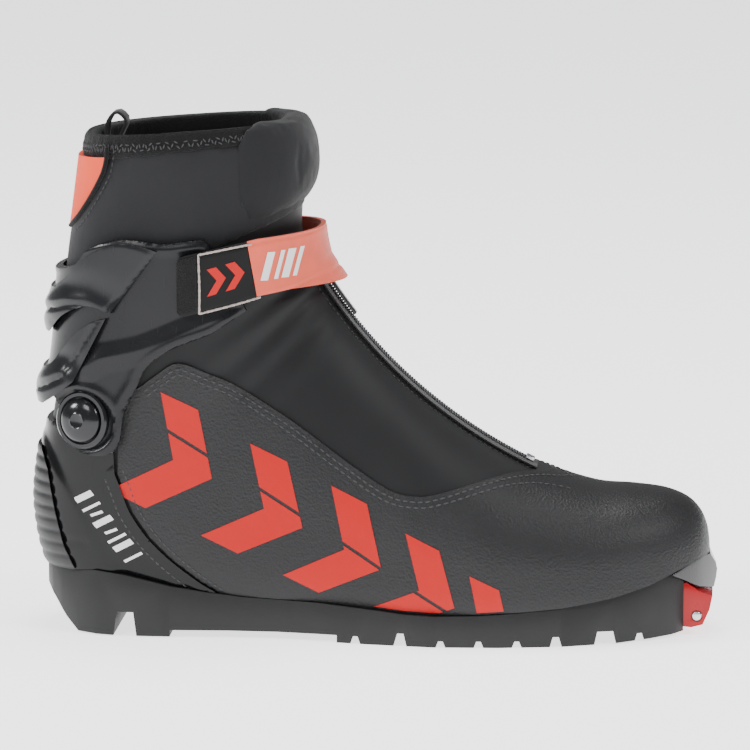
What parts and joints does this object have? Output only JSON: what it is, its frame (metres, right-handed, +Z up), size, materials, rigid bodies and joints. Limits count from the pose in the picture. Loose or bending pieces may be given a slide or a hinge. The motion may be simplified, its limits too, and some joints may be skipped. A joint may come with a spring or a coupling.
{
  "type": "ski boot",
  "caption": "Cross country ski boot with zipped softshell cover, hinged ankle cuff, ankle strap, padded collar and lugged sole with a steel toe bar",
  "frame": {"origin": "centre of the footprint box, on the ground", "axes": "+X points to the toe, +Y to the inner (medial) side of the right foot, +Z up"},
  "size_m": [0.2748, 0.0898, 0.2066],
  "materials": {
    "softshell": "smooth stretch softshell",
    "neoprene": "knit-faced neoprene",
    "lining": "brushed knit",
    "board": "fibre board",
    "footbed_foam": "felt-faced foam",
    "binding": "fuzzy woven binding",
    "coral_fabric": "stretch knit",
    "coral_webbing": "woven webbing",
    "strap_print": "coated webbing",
    "hook_and_loop": "hook and loop tape",
    "vamp_leather": "matte synthetic leather",
    "counter_plastic": "satin moulded",
    "cuff_plastic": "satin moulded",
    "cap_plastic": "polished",
    "bumper_plastic": "glossy moulded",
    "red_plastic": "moulded",
    "guard_rubber": "soft ribbed",
    "sole_rubber": "matte",
    "zip_tape": "woven tape",
    "zip_coil": "metallised coil",
    "steel": "brushed"
  },
  "bodies": {
    "foot": {"outsole": "sole_rubber", "toe_bumper": "bumper_plastic", "toe_bar_holder": "red_plastic", "toe_bar": "steel", "lasting_board": "board", "footbed": "footbed_foam", "softshell_cover": "softshell", "lining_foot": "lining", "vamp_overlay": "vamp_leather", "heel_counter": "counter_plastic", "heel_guard": "guard_rubber", "front_gusset": "softshell", "rear_gusset": "softshell", "zip_tape": "zip_tape", "zip_coil": "zip_coil", "zip_stop": "steel", "hinge_pin_outer": "steel", "hinge_pin_inner": "steel"},
    "cuff": {"cuff_shell": "cuff_plastic", "upper_wing": "cuff_plastic", "lower_wing": "cuff_plastic", "collar": "neoprene", "collar_binding": "binding", "lining_shaft": "lining", "tongue_pad": "neoprene", "back_panel": "coral_fabric", "pull_loop": "binding", "loop_patch": "hook_and_loop", "strap_front": "coral_webbing", "strap_rivet": "steel", "hinge_cap_outer": "cap_plastic", "hinge_cap_inner": "cap_plastic", "hinge_ring_outer": "counter_plastic", "hinge_ring_inner": "counter_plastic"},
    "strap_tab": {"strap_end": "strap_print", "hook_patch": "hook_and_loop"},
    "slider": {"zip_slider": "steel", "zip_puller": "cap_plastic"}
  },
  "joints": [
    {"name": "cuff_pivot", "type": "hinge", "parent": "foot", "child": "cuff", "pos_m": [-0.11206, 0, 0.087], "axis": [0, 1, 0], "range_deg": [-4, 8], "deforming": ["front_gusset", "rear_gusset"]},
    {"name": "strap_peel", "type": "hinge", "parent": "cuff", "child": "strap_tab", "pos_m": [-0.04541, -0.03998, 0.148], "axis": [-0.1644, 0, 0.9864], "range_deg": [0, 75]},
    {"name": "zip_slide", "type": "hinge", "parent": "foot", "child": "slider", "pos_m": [0.15125, 0, 0.25197], "axis": [0, -1, 0], "range_deg": [0, 24.5]}
  ]
}
